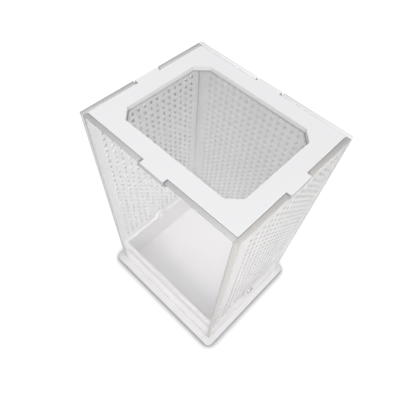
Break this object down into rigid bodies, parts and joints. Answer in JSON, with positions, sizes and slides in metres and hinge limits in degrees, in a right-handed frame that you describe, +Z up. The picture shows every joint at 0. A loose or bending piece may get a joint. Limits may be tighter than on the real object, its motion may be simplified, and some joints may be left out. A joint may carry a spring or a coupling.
{
  "type": "insect display box",
  "caption": "Upright clear display box for a mantis, with drilled walls, a netted white lid and a lift-off cover on a white base with a shallow tray.",
  "frame": {"origin": "centre of the base plate's underside, on the surface that the box stands on", "axes": "+X to the right along the front, +Y from the clear front panel to the back panel, +Z up"},
  "size_m": [0.13, 0.112, 0.1883],
  "materials": {
    "white_sheet": "polished opaque sheet with a soft gloss",
    "clear_sheet": "clear polished sheet",
    "net": "fine woven net",
    "plated_metal": "bright plated"
  },
  "bodies": {
    "base": {"base_plate": "white_sheet", "tray_wall_front": "white_sheet", "tray_wall_back": "white_sheet", "tray_wall_left": "white_sheet", "tray_wall_right": "white_sheet", "tray_catch_left": "plated_metal", "tray_catch_right": "plated_metal"},
    "cover": {"front_panel": "clear_sheet", "back_panel": "clear_sheet", "left_panel": "clear_sheet", "right_panel": "clear_sheet", "cover_catch_left": "plated_metal", "cover_catch_right": "plated_metal"},
    "lid": {"top_plate": "white_sheet", "mesh_screen": "net"}
  },
  "joints": [
    {"name": "cover_lift", "type": "slide", "parent": "base", "child": "cover", "axis": [0, 0, 1], "range_m": [0, 0.08]},
    {"name": "lid_lift", "type": "slide", "parent": "cover", "child": "lid", "axis": [0, 0, 1], "range_m": [0, 0.05]}
  ]
}
